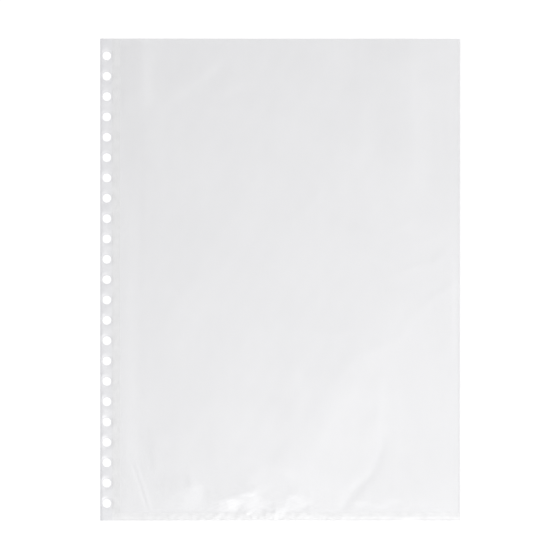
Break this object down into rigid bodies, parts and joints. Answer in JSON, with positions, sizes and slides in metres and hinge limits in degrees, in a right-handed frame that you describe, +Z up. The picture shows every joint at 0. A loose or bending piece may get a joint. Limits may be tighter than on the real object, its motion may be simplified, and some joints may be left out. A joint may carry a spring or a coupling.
{
  "type": "sheet protector",
  "caption": "Clear film page pocket, open at the top, with a punched binding strip along one side, for keeping paper in a ring binder.",
  "frame": {"origin": "under the middle of the pocket, on the surface that it lies on", "axes": "+Y from the bottom weld to the mouth, +X from the binding strip to the fold, +Z up out of the front ply"},
  "size_m": [0.225, 0.301, 0.0004],
  "materials": {
    "film": "thin clear polypropylene film, finely embossed, slightly hazy",
    "strip": "stiffer clear polypropylene strip with a satin face",
    "weld": "fused clear film, pressed into fine ribs"
  },
  "bodies": {
    "strip": {"binding_strip": "strip"},
    "pocket": {"side_weld": "weld", "bottom_weld": "weld", "back_film": "film", "side_fold": "film", "front_margin_left": "film", "front_margin_right": "film"},
    "front": {"front_film": "film"}
  },
  "joints": [
    {"name": "page_turn", "type": "hinge", "parent": "strip", "child": "pocket", "pos_m": [-0.1047, 0, 0.00041], "axis": [0, -1, 0], "range_deg": [0, 160]},
    {"name": "mouth_open", "type": "hinge", "parent": "pocket", "child": "front", "pos_m": [0, -0.147, 0.00037], "axis": [1, 0, 0], "range_deg": [0, 5]}
  ]
}
